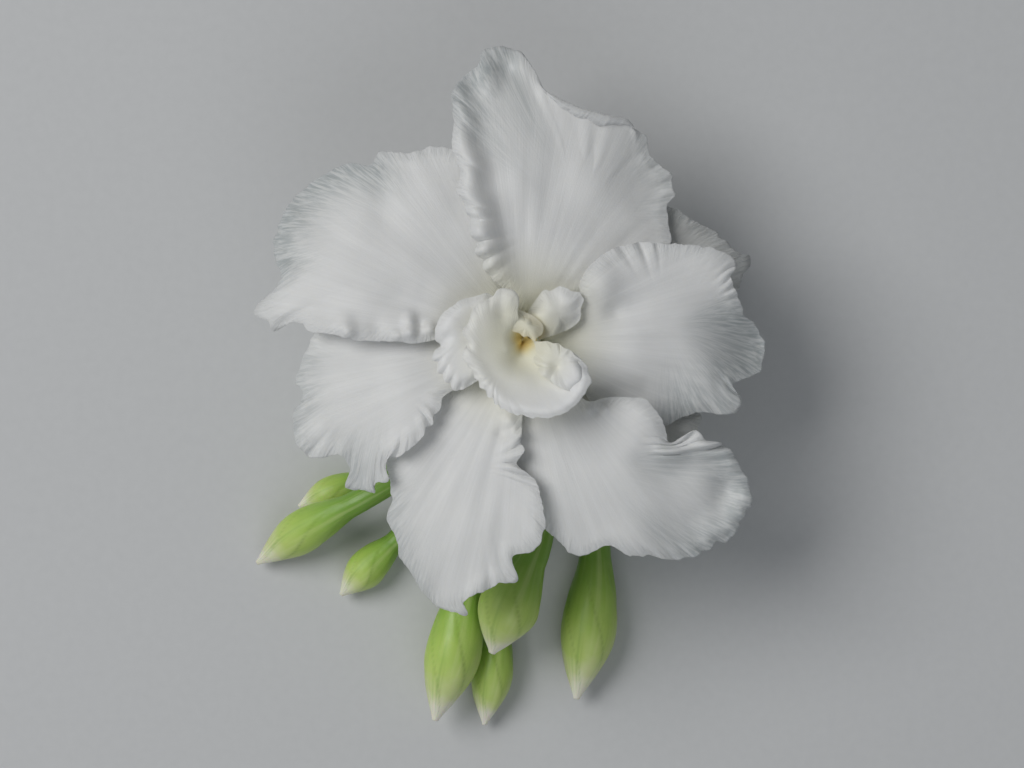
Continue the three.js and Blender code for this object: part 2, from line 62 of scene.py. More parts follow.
# Outlines run from the claw to the tip along the under edge and the upper edge. Each point is the angle
# round the flower in degrees, counter-clockwise from +X, and the distance from its axis. What a margin
# does is said from one such point to another: waves (how many, or how many puffs with a minus, height,
# reach inwards, sideways sway), rolls (ridge, valley, size), tucks (depth, reach), hems (width, lift) and
# thin stretches (reach, share), whose grey is partly thin tissue and partly painted shade. A form is a
# rise or a hollow: x and y from the axis, height and width.
FRONT_PETALS = {
    "petal_right": {"rib": 5,
        "under": [(-17, 2), (-34, 6), (-43, 11), (-38, 16), (-30, 18), (-26.6, 18.7), (-22, 20.4),
            (-20.5, 22.4), (-18.8, 24.1), (-15.4, 24.4), (-12.2, 23.1), (-9.9, 24), (-7.6, 25.7),
            (-4.2, 26.2)],
        "upper": [(27, 2), (32, 5), (37, 7.6), (44, 8.4), (47.2, 9.8), (46.8, 12.1), (43.5, 14.3),
            (38.3, 16.6), (33, 18.7), (26.9, 21.8), (23, 23.4), (19.2, 24.1), (16.8, 23.1),
            (10.6, 23.5), (6.1, 24), (4.7, 24.8), (1.7, 25.7), (-0.7, 26.2)],
        "waves": [((45, 13), (36.5, 17.4), 2.5, 0.4, 2, 0.1),
            ((20, 24), (11, 23.4), -3, 0.45, 1.2, 0.15),
            ((-12, 23.2), (-22, 20.6), 3.5, 0.35, 1.4, 0.15)],
        # These thin stretches are mostly painted shade: grey on the right end, which bends away from the
        # light, and along the lower edge.
        "thin": [((-12.2, 23.1), (12, 23.6), 5.5, 1), ((-12.2, 23.1), (-34, 17), 5, 0.75)],
        "forms": [(11.6, 3.2, -0.35, 1.5), (8.5, 5.6, 0.8, 1.8), (9.8, 3, -0.5, 1.2), (20, 8, 0.4, 4),
            (16, -9, -1.3, 5), (25.6, -1, -3.2, 4.4), (19, -3, 0.4, 3)],
    },
    "petal_top": {"rib": 70,
        "under": [(50, 2), (40, 6), (30, 11), (29, 16), (34, 19.2), (39.5, 20.2), (42.6, 21.2),
            (43.5, 22.7), (45, 22.9), (48.4, 24), (53, 23.8), (56.3, 24.5), (59.2, 25.7), (64.2, 26.3),
            (68.1, 25.8), (73.5, 25.4), (81.1, 26.1), (85.4, 27.6), (87.3, 29.1), (90, 30.8)],
        "upper": [(92, 2), (106, 5), (116.9, 7.5), (115.2, 11.7), (113, 14.6), (113.1, 17.3),
            (110, 19.2), (110.2, 21.5), (107.3, 24.2), (105.8, 27.2), (102.9, 28.6), (98.8, 29.8),
            (98, 31), (96, 31.5), (93.7, 31.6)],
        "waves": [((117, 7.3), (113, 16), -4, 0.75, 2.1, 0.4),
            ((113, 14.6), (110, 21), -2.5, 0.45, 2, 0.25), ((108, 24), (98, 31), 3, 0.3, 2, 0.15),
            ((58, 25.5), (40, 20.4), 4, 0.4, 1.4, 0.15)],
        "rolls": [((117, 7), (108, 26), 0.9, 0.45, 1)],
        "hems": [((87, 28.8), (62, 26.3), 1.75, 0.7)],
        # Partly painted shade: these thin stretches grey the tip and the right side, which tilt away from
        # the light.
        "thin": [((108, 24), (90, 30.8), 5, 0.9), ((66, 26), (36, 20), 3, 0.5)],
        "forms": [(-5.6, 27.2, -1, 1.5), (-1.6, 28.8, -0.9, 1.3), (-3.7, 27, 0.5, 1.1),
            (8.3, 18, 0.5, 4), (2.4, 15, -0.4, 3), (14.5, 18, -1.5, 6)],
    },
    "petal_upper_left": {"rib": 137,
        "under": [(119, 2), (110, 6), (102, 11), (100, 16), (104, 20.3), (110, 21.7), (115.4, 22.8),
            (120.8, 23.2), (126.9, 25.1), (130.7, 24.7), (133.9, 26.3), (138.1, 27.3), (143.1, 28.1),
            (148.9, 28.7), (154, 28.8)],
        "upper": [(160, 2), (172, 5.5), (180, 9.1), (182.1, 11.5), (180.9, 12.9), (180.3, 17.5),
            (178.7, 19.3), (177.8, 22.1), (175.4, 24.1), (177.9, 26.3), (175.6, 27.3), (174, 28.6),
            (170.5, 27.6), (168.4, 26.8), (164.5, 26.5), (162.6, 27.3), (158.8, 28.4)],
        "waves": [((176, 24), (164, 26.6), 2, 0.18, 1.5, 0.12)],
        "rolls": [((180, 9), (178, 20), 0.3, 0.3, 1)],
        "thin": [((168, 27), (126, 25), 3.6, 1)],
        "forms": [(-23.5, 15.9, -0.8, 3.4), (-19, 18.5, -0.5, 2.8), (-15, 16, -0.35, 1.6),
            (-14.5, 13.3, -0.25, 1.6), (-10.8, 14.8, 0.5, 3.5), (-19.3, 8.5, 0.4, 4),
            (-18.4, 0.7, 0.9, 0.9), (-18.7, 1.9, 0.4, 0.9), (-11.8, 0.8, 0.9, 0.6),
            (-11.9, 2.1, 0.8, 0.7), (-9.7, 1.1, 0.7, 0.6), (-13.1, 0.4, 0.4, 0.5),
            (-15.3, 1.1, -0.5, 1.2), (-10.7, 1.5, -0.3, 0.5)],
    },
    "petal_lower_left": {"rib": 196,
        "under": [(178, 2), (170, 6), (166, 11), (168, 16), (173, 20.5), (178.1, 22.1), (182.7, 22.9),
            (187.6, 24), (190.9, 24.7), (192.2, 24.1), (195.1, 24.4), (198.5, 25.7), (201.3, 26.3)],
        "upper": [(214, 2), (217, 6), (216, 10), (219.7, 11.3), (224.1, 14.5), (224.2, 16.7),
            (222.1, 19.3), (226.7, 20.6), (224.2, 21.7), (226.3, 22.6), (223, 23.2), (219.9, 24.5),
            (216.9, 22.9), (212.1, 22.9), (210.3, 25), (206.7, 26.2), (204.2, 26.4)],
        "waves": [((216, 9), (221.5, 20), 5, 0.35, 1.2, 0.25),
            ((225, 20.8), (212, 23.5), 3, 0.4, 1.5, 0.2), ((210, 25), (193, 24.3), 3, 0.4, 1.6, 0.2)],
        "thin": [((210, 25), (180, 22.5), 2.4, 0.6), ((226, 21.5), (212, 23), 3, 0.7)],
        "forms": [(-12, -6, 0.5, 3), (-21.5, -9.5, 0.5, 2), (-19, -15, -1.1, 4)],
    },
    "petal_bottom": {"rib": 247,
        "under": [(228, 2), (220, 6), (214, 11), (215, 16), (221, 19), (226.7, 20.6), (230.7, 21.9),
            (232.6, 23.8), (237.8, 25.1), (241, 26.7), (244.7, 27.6), (248, 28.8), (252.2, 29.9)],
        "upper": [(266, 2), (270, 6), (270, 9), (268.9, 10.6), (271.1, 11.5), (267.5, 13),
            (275.7, 14.9), (276.9, 16.9), (277.3, 19.2), (276.5, 20.5), (272.7, 22.3), (267.6, 23),
            (268.8, 25.5), (263.7, 26.2), (260.3, 27.6), (257.3, 28.5), (258.8, 29.9), (255.6, 30)],
        "waves": [((268, 9), (275.7, 15), -3, 0.6, 1.2, 0.2),
            ((276, 15.5), (273, 22.2), 2, 0.3, 1.6, 0.15),
            ((268, 23), (258, 28.5), 2.5, 0.3, 1.6, 0.15)],
        "thin": [((228, 21), (252, 29.9), 2, 0.6)],
        "forms": [(-6, -20, 0.6, 3.6), (-9, -13, -0.3, 3), (-1.4, -8.5, 0.55, 0.7),
            (-0.6, -10, 0.45, 0.6), (-2.1, -9.9, -0.35, 0.7)],
    },
    "petal_lower_right": {"rib": 300,
        "under": [(280, 2), (270, 6), (263, 11), (264, 16), (271, 19), (276.9, 20.3), (280.6, 21.9),
            (284.5, 23.8), (290.5, 23.7), (293.1, 23.8), (296.6, 25.6), (300.5, 26.7), (303.8, 28.2),
            (307.4, 29.4), (310.5, 29.9), (314.3, 30.1)],
        "upper": [(316, 2), (318, 6), (316.4, 9.2), (326.2, 10.9), (331, 12.5), (334, 14.3),
            (332.1, 15.8), (328.9, 17.5), (325, 19), (328.5, 19.7), (332.4, 20.6), (331.5, 22.2),
            (332.3, 23.5), (331.8, 25.4), (329.8, 26.8), (327.5, 28.7), (323.9, 30.2), (321.6, 30.2),
            (318.6, 30.8), (315.1, 30.8)],
        "waves": [((328, 19.7), (331, 24), 1.5, 0.4, 1.6, 0.2),
            ((331.5, 22), (320, 30.3), -6, 0.65, 1.3, 0.25),
            ((315, 30.8), (300, 26.7), 5, 0.2, 1.2, 0.1)],
        "rolls": [((332.2, 23), (314, 30.5), 0.4, 0.4, 0.75)],
        # Partly painted shade: grey along the right margin, which lies in shade.
        "thin": [((332, 23), (305, 28.8), 3.6, 0.9)],
        "forms": [(13, -8.3, 1.1, 2.6), (10.9, -6.9, 0.4, 2), (8.8, -6.4, -0.3, 1),
            (22.2, -15.5, -1.2, 1.7), (20.6, -19.4, 0.5, 2), (18.9, -10, 0.5, 1.5), (10, -12, 0.3, 4),
            (20, -22, -1.3, 6), (7, -7.4, 0.3, 0.5), (7.9, -7.6, -0.25, 0.45), (8.8, -7.4, 0.3, 0.45)],
    },
}

# A hidden petal of the lower whorl: degrees from its rib, and shares of its reach.
BACK_OUTLINE = [(19, 0), (29, 0.3), (32, 0.5), (29, 0.7), (21, 0.86), (10, 0.96), (2.5, 1)]


def hidden_petal(rib, reach):
    """The outline of such a petal, whose tip is so far from the axis."""
    span = reach - CLAW_RADIUS
    points = [(off, CLAW_RADIUS + share * span) for off, share in BACK_OUTLINE]
    under, upper = [(rib - off, r) for off, r in points], [(rib + off, r) for off, r in points]
    return {"rib": rib, "under": under, "upper": upper}


# The first petal shows between two of the front ones.
BACK_PETALS = {
    "back_petal_1": {"rib": 22,
        "under": [(4, 2.2), (-6, 8), (-5, 13), (2, 18), (8, 21.5), (12, 23.6), (15.5, 24.6), (18.4, 26)],
        "upper": [(40, 2.2), (52, 8), (54, 14), (48, 19), (41, 21.7), (35.5, 22.6), (30, 23.6),
            (25.5, 24.6), (22.5, 25.2), (20.4, 26.4)],
    },
    "back_petal_2": hidden_petal(100, 21.5),
    "back_petal_3": hidden_petal(172, 21.5),
    "back_petal_4": hidden_petal(250, 21),
    "back_petal_5": hidden_petal(328, 21.5),
}

# The inner whorl. level is the height of a claw over the front petals' plane, rise the slope outwards
# and wind the rise per radian. A claw may dip by so many mm from one angle to another, and plunge by so
# many mm towards the axis.
INNER_CLAW = 1.45
INNER_PETALS = {
    "inner_petal_left": {"rib": 170, "hub": (170, 5), "level": 2.4, "rise": 0.17, "plunge": 2,
        "under": [(120, 0.8), (118, 3), (121, 4.6), (126, 5.9), (141, 7.1), (152, 8), (164, 8.8),
            (173, 9.2)],
        "upper": [(215, 0.8), (222, 3.5), (223, 6), (219, 8.4), (208, 9.1), (197, 9.3), (188, 9.4),
            (184.3, 8.6), (180, 9.1)],
        "waves": [((126, 6), (164, 8.8), 2, 0.15, 1, 0.1),
            ((188, 9.3), (220, 8.5), -4, 0.22, 0.9, 0.25)],
        "tucks": [((121, 4.6), (222, 3.5), 0.7, 0.7)],
        "forms": [(-7.4, 1.6, 0.4, 1.4), (-6.6, 4, 0.2, 1.4), (-7.9, 0.3, -0.4, 0.6)],
    },
    "inner_petal_cup": {"rib": 235, "hub": (237, 3.1), "level": 4.05, "rise": 0.38, "wind": 0.22,
        "dip": (1.25, 235, 400), "plunge": 1.5,
        "under": [(85, 0.8), (99, 1.8), (99, 3), (95, 3.7), (94.5, 4.4), (99, 5.1), (106, 5.5),
            (115, 5.8), (124, 5.5), (131, 5.5), (140.3, 5.8), (152, 6), (163.9, 5.9), (173.1, 6.3),
            (185.5, 5.7), (194.3, 6.5), (211.5, 6.2), (233.1, 6.6)],
        "upper": [(365, 0.8), (353, 1.8), (350, 4.1), (341.6, 6.4), (334.1, 7.8), (329.2, 8.3),
            (317.9, 8.7), (304.8, 8.9), (289.3, 8.7), (272.3, 8), (262.2, 7.8), (248.7, 7.3)],
        "waves": [((115, 5.8), (200, 6.4), 5, 0.13, 0.8, 0.12),
            ((185, 6), (262, 7.8), 9, 0.09, 0.7, 0.14), ((255, 7.6), (340, 7), 8, 0.12, 0.7, 0.14)],
        "rolls": [((185, 6), (345, 5.5), 0.15, 0.15, 0.6)],
        "tucks": [((99, 5.1), (185, 5.7), 0.35, 0.5), ((185, 5.7), (345, 5.5), 0.3, 0.45)],
        "forms": [(0, -2, -0.4, 1.2), (2, -4, -0.6, 1.6), (4, -5, -0.4, 1.5), (-3.6, 1.4, 0.25, 1.5),
            (-2.1, 2.5, -0.35, 0.9), (-2.3, 3.9, -0.25, 0.8), (-1.1, 4.2, 0.3, 0.8),
            (3.7, -2.8, -1.2, 1.2)],
    },
    "inner_petal_curl": {"rib": 235, "hub": (324, 4.6), "level": 4.3, "rise": 0.4, "wind": 0.22,
        "plunge": 0.3,
        "under": [(345, 1.25), (313, 2.05), (299.5, 2.64), (298, 3.6), (303, 4.9), (308.5, 6.4),
            (313, 7.4)],
        "upper": [(351, 1.3), (355, 2.6), (351.5, 3.9), (345.5, 5.3), (340.4, 6.4), (333, 7.6),
            (324, 8.1)],
        "waves": [((313, 2), (308, 6.4), -3, 0.3, 0.8, 0.2),
            ((355, 2.6), (341, 6.3), 3, 0.12, 0.7, 0.1)],
        "tucks": [((313, 7.2), (342, 6.2), 0.8, 0.6)],
        "forms": [(3.7, -2.9, -0.9, 0.75), (1.6, -1.1, 0.3, 0.8), (4.5, -4.1, -0.25, 0.6),
            (2.5, -3.3, 0.3, 0.6), (5.4, -3, 0.25, 0.9), (3, -1, 0.2, 0.6)],
    },
    "inner_petal_throat": {"rib": 84, "hub": (76, 1.65), "level": 3.55, "rise": 0.1,
        "under": [(152, 1.9), (141, 1.5), (130, 0.95), (60, 0.4), (8, 0.85), (-10, 1.3)],
        "upper": [(146, 2.5), (124, 3), (103, 3.2), (80, 2.85), (54, 2.7), (30, 2.6), (9, 1.8)],
        "waves": [((137, 1.5), (28, 2.3), 3, 0.08, 0.5, 0.12)],
        "tucks": [((140, 1.6), (5, 1.5), 0.15, 0.3), ((20, 2.2), (110, 3.1), 0.7, 1.2)],
        "forms": [(0.9, 1.5, 0.25, 1.1)],
    },
    "inner_petal_lobe": {"rib": 38, "hub": (36, 4.6), "level": 2.05, "rise": 0.14, "wind": 0.3,
        "plunge": 2,
        "under": [(-8, 0.8), (4, 2.4), (10, 4), (13, 5.2), (19, 6.4), (27, 6.9), (33, 7.8)],
        "upper": [(88, 0.8), (84, 2), (78, 3), (72, 4.2), (66.5, 5.7), (60, 6), (54, 7), (44, 7.4),
            (39, 7.9)],
        "waves": [((50, 7), (20, 6.6), 1.5, 0.12, 0.9, 0.1)],
        "tucks": [((80, 2.6), (10, 4), 0.8, 1.2)],
        "forms": [(2.6, 2.6, 0.6, 1.4), (5, 4.6, 0.3, 1.2), (3.9, 4.3, -0.1, 0.6)],
    },
}

# Buds, from the tip to the calyx: x, y from the flower's axis and z from the surface, and the radius.
BUDS = {
    "bud_1": (1.8, [(-25.2, -18.5, 1.6), (-21.5, -16.9, 1.72), (-15, -14.2, 2), (-7.2, -10.8, 2.4)]),
    "bud_2": (2.4, [(-29.9, -24.9, 1.5), (-24.4, -21.1, 3.4), (-18.1, -17.7, 6.8), (-8.2, -12.4, 6.8)]),
    "bud_3": (2.15, [(-20.4, -28.5, 1.8), (-17.4, -25.4, 2.05), (-13.4, -21.6, 2.6), (-4.8, -13.2, 3)]),
    "bud_4": (3.1, [(-9.7, -42.4, 4.4), (-7.6, -34.6, 5.2), (-6.3, -28.8, 5.4), (-2.4, -17.5, 4.4)]),
    "bud_5": (3.35, [(-3.3, -34.5, 8.2), (-1.4, -29.2, 9.4), (1.8, -21.9, 9.6), (4, -14.6, 7.6)]),
    "bud_6": (2.3, [(-4.2, -43.2, 1.8), (-3.3, -37.4, 2.2), (-2.3, -31, 2.2), (0.4, -18.6, 2.3)]),
    "bud_7": (3.1, [(6.2, -40.2, 2.5), (7.6, -31.9, 3), (8.3, -24, 3), (7.4, -13.6, 2.9)]),
}
BUD_PROFILE = [
    (0, 0.09), (0.03, 0.17), (0.07, 0.27), (0.12, 0.4), (0.19, 0.57), (0.28, 0.77), (0.38, 0.94),
    (0.48, 1), (0.6, 0.97), (0.75, 0.84), (0.88, 0.68), (1, 0.56),
]
BUD_HEAD = 1.95  # length of a head over the distance from its tip to its belly
BUD_FOOT_RADIUS = 1
TUBE_FOOT_RADIUS = 1.25

# The stem's forks, as in the solids.
MAIN_FORK = (3.5, -7.2, 2.1)
LEFT_FORK = (-2.2, -8.2, 2.8)
RIGHT_FORK = (3.2, -11, 2.9)
PEDUNCLE_LINE = [(13.8, 14.2, 1.05), (11.9, 6, 1.05), (8.4, -1.2, 1.4), MAIN_FORK]
FLOWER_PEDICEL = [MAIN_FORK, (2, -3.6, 1.6), (0.4, -0.9, 2)]
PEDUNCLE_RADIUS, BRANCH_RADIUS, PEDICEL_RADIUS = 1.4, 1.05, 0.75


def smooth(low, high, x):
    """0 below low, 1 above high and a soft step between them."""
    k = np.clip((x - low) / (high - low), 0, 1)
    return k * k * (3 - 2 * k)


def window(low, high, fade, x):
    """1 from low to high, with a soft step at both."""
    return smooth(low - fade, low + fade, x) * (1 - smooth(high - fade, high + fade, x))


def bell(x, width):
    """1 at 0, and little beyond a width on either side."""
    return np.exp(-((x / width) ** 2))


def round_turn(count):
    """Angles at even steps, once round."""
    return np.linspace(0, 2 * np.pi, count, endpoint=False)


def lattice(ix, iy, seed):
    """A fixed pseudo-random number from 0 to 1 for each whole-numbered place."""
    h = np.sin(ix * 127.1 + iy * 311.7 + seed * 74.7) * 43758.5453
    return h - np.floor(h)


def noise(x, y, seed):
    """Smooth noise from -1 to 1 that changes over about one unit."""
    ix, iy = np.floor(x), np.floor(y)
    fx, fy = smooth(0, 1, x - ix), smooth(0, 1, y - iy)
    low = lattice(ix, iy, seed) * (1 - fx) + lattice(ix + 1, iy, seed) * fx
    high = lattice(ix, iy + 1, seed) * (1 - fx) + lattice(ix + 1, iy + 1, seed) * fx
    return 2 * (low * (1 - fy) + high * fy) - 1


FINE_STEPS = 24  # points found between two given ones of a curve


def lengths(points):
    """How far along a line each of its points is."""
    return np.concatenate([[0], np.cumsum(np.linalg.norm(np.diff(points, axis=0), axis=1))])


def evenly(points, count, endpoint=True):
    """count points at even distances along a line, and how far along it each is."""
    far = lengths(points)
    want = np.linspace(0, far[-1], count, endpoint=endpoint)
    return np.stack([np.interp(want, far, axis) for axis in points.T], 1), want


def curve_points(points, count):
    """count points at even distances along a smooth curve through the given ones."""
    p = np.array(points, float)
    p = np.vstack([2 * p[0] - p[1], p, 2 * p[-1] - p[-2]])
    gaps = np.sqrt(np.linalg.norm(np.diff(p, axis=0), axis=1))
    u = np.linspace(0, 1, FINE_STEPS, endpoint=False)[:, None]
    fine = []
    for a, b, c, d, before, here, after in zip(p, p[1:], p[2:], p[3:], gaps, gaps[1:], gaps[2:]):
        start = ((b - a) / before - (c - a) / (before + here) + (c - b) / here) * here
        end = ((c - b) / here - (d - b) / (here + after) + (d - c) / after) * here
        rise = c - b
        fine.append(b + start * u + (3 * rise - 2 * start - end) * u**2 + (start + end - 2 * rise) * u**3)
    return evenly(np.vstack(fine + [p[-2][None]]), count)[0]


ARC_SCALE = 0.35  # mm for a degree while an outline is smoothed, so that its points stay even
EDGE_STEPS = 400  # points along each edge of an outline


def polar(angle, r):
    """x and y for an angle in degrees and a distance from the axis."""
    return r * np.cos(np.radians(angle)), r * np.sin(np.radians(angle))


def edge_points(points):
    """Points in plan along one edge of an outline."""
    found = curve_points([(angle * ARC_SCALE, r) for angle, r in points], EDGE_STEPS)
    return np.stack(polar(found[:, 0] / ARC_SCALE, found[:, 1]), 1)


FIRST_RING = 0.03  # the innermost ring's share of the way to the margin
RIM_CROWD = 0.6  # how far the rings crowd towards the margin
SETTLE_ROUNDS = 500
MARGIN_ROUNDS = 12  # rounds of smoothing of the distance to the margin
HUB_CALM = 0.3  # share of a petal's reach round its hub where its margin's relief fades out


def settled(x, y, depth):
    """Rings of points eased over a fixed number of rounds, to unfold the cells between them at a notch of
    the outline.
    """
    inner, outer = np.diff(depth)[:-1, None], np.diff(depth)[1:, None]
    turn = 2 * np.pi / x.shape[1]
    ahead, behind = 2 / (outer * (inner + outer)), 2 / (inner * (inner + outer))
    z = x + 1j * y
    for _ in range(SETTLE_ROUNDS):
        left, right = np.roll(z, 1, 1), np.roll(z, -1, 1)
        along = (right - left)[1:-1] / (2 * turn)
        across = (z[2:] - z[:-2]) / (inner + outer)
        skew = ((right - left)[2:] - (right - left)[:-2]) / (2 * turn * (inner + outer))
        a, c = np.abs(along) ** 2, np.abs(across) ** 2
        b = (along * across.conj()).real
        total = a * (ahead * z[2:] + behind * z[:-2]) + c * (left + right)[1:-1] / turn**2 - 2 * b * skew
        z[1:-1] = total / (a * (ahead + behind) + 2 * c / turn**2)
    return z.real, z.imag


def nearest(x, y, line):
    """The distance from each place to the nearest point of a line."""
    gaps = (x[..., None] - line[:, 0]) ** 2 + (y[..., None] - line[:, 1]) ** 2
    return np.sqrt(gaps.min(-1))


class Plan:
    """A petal seen from above: rings of points round its hub, out to its margin."""

    def __init__(self, under, upper, hub, grid):
        rings, rays = grid
        low, high = edge_points(under), edge_points(upper)[::-1]
        self.outline, self.far = evenly(np.vstack([low, high, low[:1]]), rays, False)
        self.hub = np.array(polar(*hub))
        even = np.linspace(FIRST_RING, 1, rings)
        share = (1 - RIM_CROWD) * even + RIM_CROWD * np.sin(even * np.pi / 2)
        self.x, self.y = settled(*self.started(share[:, None], rays), np.log(share))
        self.r = np.hypot(self.x, self.y)
        self.angle = hub[0] + (np.degrees(np.arctan2(self.y, self.x)) - hub[0] + 180) % 360 - 180
        self.along = np.broadcast_to(self.far, self.x.shape)
        self.margin = self.measure()
        out_x, out_y = self.x - self.hub[0], self.y - self.hub[1]
        gap = np.hypot(out_x, out_y)
        self.open = smooth(0, HUB_CALM * gap.max(), gap)
        self.out_x, self.out_y = out_x / (gap + 0.5), out_y / (gap + 0.5)
        self.side = self.across(low, high)

    def started(self, share, rays):
        """Rings that turn from a circle at the hub into the outline at the margin."""
        out = (self.outline - self.hub) @ (1, 1j)
        turn = np.exp(2j * np.pi * np.arange(rays) / rays)
        lead = np.sum(out / np.abs(out) / turn)
        circle = np.abs(out).mean() * turn * lead / np.abs(lead)
        ring = share * (circle + smooth(0, 1, share) * (out - circle))
        return self.hub[0] + ring.real, self.hub[1] + ring.imag

    def measure(self):
        """Each point's distance from the margin, smoothed inside."""
        gaps = nearest(self.x, self.y, self.outline)
        for _ in range(MARGIN_ROUNDS):
            beside = np.roll(gaps, 1, 1) + np.roll(gaps, -1, 1)
            gaps[1:-1] = (gaps[:-2] + gaps[2:] + beside[1:-1]) / 4
        return gaps

    def across(self, low, high):
        """-1 at the under edge, 1 at the upper edge and 0 halfway."""
        under, upper = nearest(self.x, self.y, low[::3]), nearest(self.x, self.y, high[::3])
        return (under - upper) / (under + upper + 0.01)

    def stretch(self, begin, end, fade):
        """1 beside the margin from begin to end, and the share of the way there."""
        gaps = [np.linalg.norm(self.outline - polar(*place), axis=1) for place in (begin, end)]
        a, b = sorted(self.far[gap.argmin()] for gap in gaps)
        fade = min(fade, (b - a) / 3)
        return window(a, b, fade, self.along) * self.open, (self.along - a) / (b - a)


def spread(r):
    """The flower's common surface."""
    crown = SPREAD_CROWN * smooth(2, 13, r) - SPREAD_FALL * (r / SPREAD_REACH) ** 3
    return crown - CLAW_DROP * np.exp(-(r - CLAW_RADIUS) / 0.5)


def forms_height(forms, x, y):
    """The sum of a petal's rises and hollows."""
    total = np.zeros_like(x)
    for fx, fy, height, width in forms:
        total += height * np.exp(-((x - fx) ** 2 + (y - fy) ** 2) / width**2)
    return total


SEEDS_EACH = 50  # seeds kept for each petal's margin


class Relief:
    """What a petal's margin does: heights, outward moves and thin stretches greyed partly as painted
    shade, summed on its plan.
    """

    def __init__(self, spec, hub, grid, seed, crinkle):
        self.plan = Plan(spec["under"], spec["upper"], hub, grid)
        self.seed = seed * SEEDS_EACH
        self.up, self.out, self.thin = (np.zeros_like(self.plan.x) for _ in range(3))
        makers = {"waves": self.add_waves, "rolls": self.add_roll, "tucks": self.add_tuck,
                  "hems": self.add_hem, "thin": self.add_thin_and_shade}
        for key, maker in makers.items():
            for entry in spec.get(key, []):
                maker(*entry)
        self.add_crinkle(*crinkle)

    def uneven(self, along, seed):
        """Noise along the margin."""
        return noise(along, along * 0, self.seed + seed)

    def add_waves(self, begin, end, count, height, reach, sway):
        """Uneven waves; a negative count makes rounded puffs instead."""
        plan = self.plan
        inside, u = plan.stretch(begin, end, 1.5)
        self.seed += 1
        uneven = 1.6 * noise(plan.along / 2.3, plan.margin * 0.1, self.seed)
        size = 0.75 + 0.6 * self.uneven(plan.along / 2.9, 40)
        near = inside * size * bell(plan.margin, reach)
        phase = 2 * np.pi * abs(count) * u + uneven
        if count > 0:
            lump = np.sin(phase) + 0.3 * np.sin(2 * phase + 1)
        else:
            lump = 1.5 * np.abs(np.sin(phase / 2)) ** 1.2 - 0.6
        self.up += height * near * lump
        self.out += sway * near * (lump if count < 0 else np.cos(phase + 0.6))

    def add_roll(self, begin, end, ridge, valley, size):
        """A rounded ridge along the margin, whose very edge turns down, with a valley inside it."""
        inside, _ = self.plan.stretch(begin, end, 5)
        d = self.plan.margin / size
        shape = ridge * bell(d - 1.4, 1.2) - valley * bell(d - 4.3, 2)
        self.up += inside * (shape - 0.45 * ridge * bell(d, 0.6))

    def add_tuck(self, begin, end, depth, reach):
        """A margin that turns down by a given depth, towards what lies below."""
        inside, _ = self.plan.stretch(begin, end, 1)
        self.up -= depth * inside * bell(self.plan.margin, reach)

    def add_hem(self, begin, end, width, lift):
        """A margin that is folded up and back over the petal."""
        inside, _ = self.plan.stretch(begin, end, 2)
        d = self.plan.margin
        w = width * (0.75 + 0.35 * self.uneven(self.plan.along / 1.7, 3))
        back = np.where(d < w, w - d, (d - w) * 4 / 3)
        target = np.where(d < 4 * w, back, d)
        self.out += inside * (d - target)
        self.up += inside * lift * (1 - smooth(0.3, 1.5, d / w))

    def add_thin_and_shade(self, begin, end, reach, share):
        """A greyed stretch: partly thin tissue, partly painted shade where the petal lies in shade."""
        inside, _ = self.plan.stretch(begin, end, 3)
        self.thin += share * inside * bell(self.plan.margin, reach)

    def add_crinkle(self, height, tooth, start):
        """Fine crumpling of the whole free margin beyond a distance from the axis."""
        plan = self.plan
        free = smooth(start, start + 6, plan.r)
        patchy = 0.6 + 0.6 * self.uneven(plan.along / 4.3, 20)
        fine = noise(plan.along * 0.9, plan.margin * 0.4, self.seed)
        fine += 0.6 * noise(plan.along * 2.1, plan.margin * 0.7, self.seed + 9)
        self.up += height * free * patchy * np.exp(-plan.margin / 1.3) * fine
        edge = self.uneven(plan.along * 1.3, 5) + 0.6 * self.uneven(plan.along * 3.1, 6)
        self.out += tooth * free * bell(plan.margin, 0.6) * edge


# Each whorl's rings and rays, the crumpling of its margins and its hubs' distance from the axis.
FRONT_GRID, FRONT_CRINKLE, FRONT_HUB = (56, 320), (0.11, 0.12, 10), 15
BACK_GRID, BACK_CRINKLE, BACK_HUB = (30, 190), (0.16, 0.2, 8), 13
INNER_GRID, INNER_CRINKLE = (40, 230), (0.09, 0.09, 3)

# How a whorl winds round the axis: its rise per radian, and how much more that is for each mm outwards.
FRONT_WIND, FRONT_GROWTH = 1.3, 0.045
BACK_WIND, BACK_GROWTH = 1.2, 0.02
BACK_DROP, BACK_FALL = 3.05, 0.045  # how far the lower whorl lies below, and falls for each mm outwards
LIP = 0.25  # lift of a front petal's upper edge over its neighbour

# Soft unevenness of the front petals: height, then its size in mm, or in degrees round and mm outwards.
DENTS, DENT_SIZE = 0.22, 4.1
FOLDS, FOLD_TURN, FOLD_SIZE = 0.07, 4, 7
# Pleats of the lower petals, and finer ones at their margins: height, and how many for each radian.
PLEATS, PLEAT_COUNT = 0.3, 11
FRILLS, FRILL_COUNT = 0.16, 31


def front_petal(name, spec, seed):
    """A front petal as a thin blade."""
    relief = Relief(spec, (spec["rib"], FRONT_HUB), FRONT_GRID, seed, FRONT_CRINKLE)
    plan = relief.plan
    off = np.radians(plan.angle - spec["rib"])
    lip = LIP * smooth(0.4, 1, plan.side) * smooth(8, 12, plan.r)
    z = spread(plan.r) + (FRONT_WIND + FRONT_GROWTH * plan.r) * off + lip
    covered = (1 - smooth(-0.9, -0.3, plan.side)) * (1 - smooth(14, 19, plan.r))
    z += forms_height(spec["forms"], plan.x, plan.y) * (1 - covered)
    free = smooth(5, 12, plan.r)
    z += DENTS * noise(plan.x / DENT_SIZE, plan.y / DENT_SIZE, seed) * free
    z += FOLDS * noise(plan.angle / FOLD_TURN, plan.r / FOLD_SIZE, seed + 30) * free
    return blade(name, relief, z, BLADE)


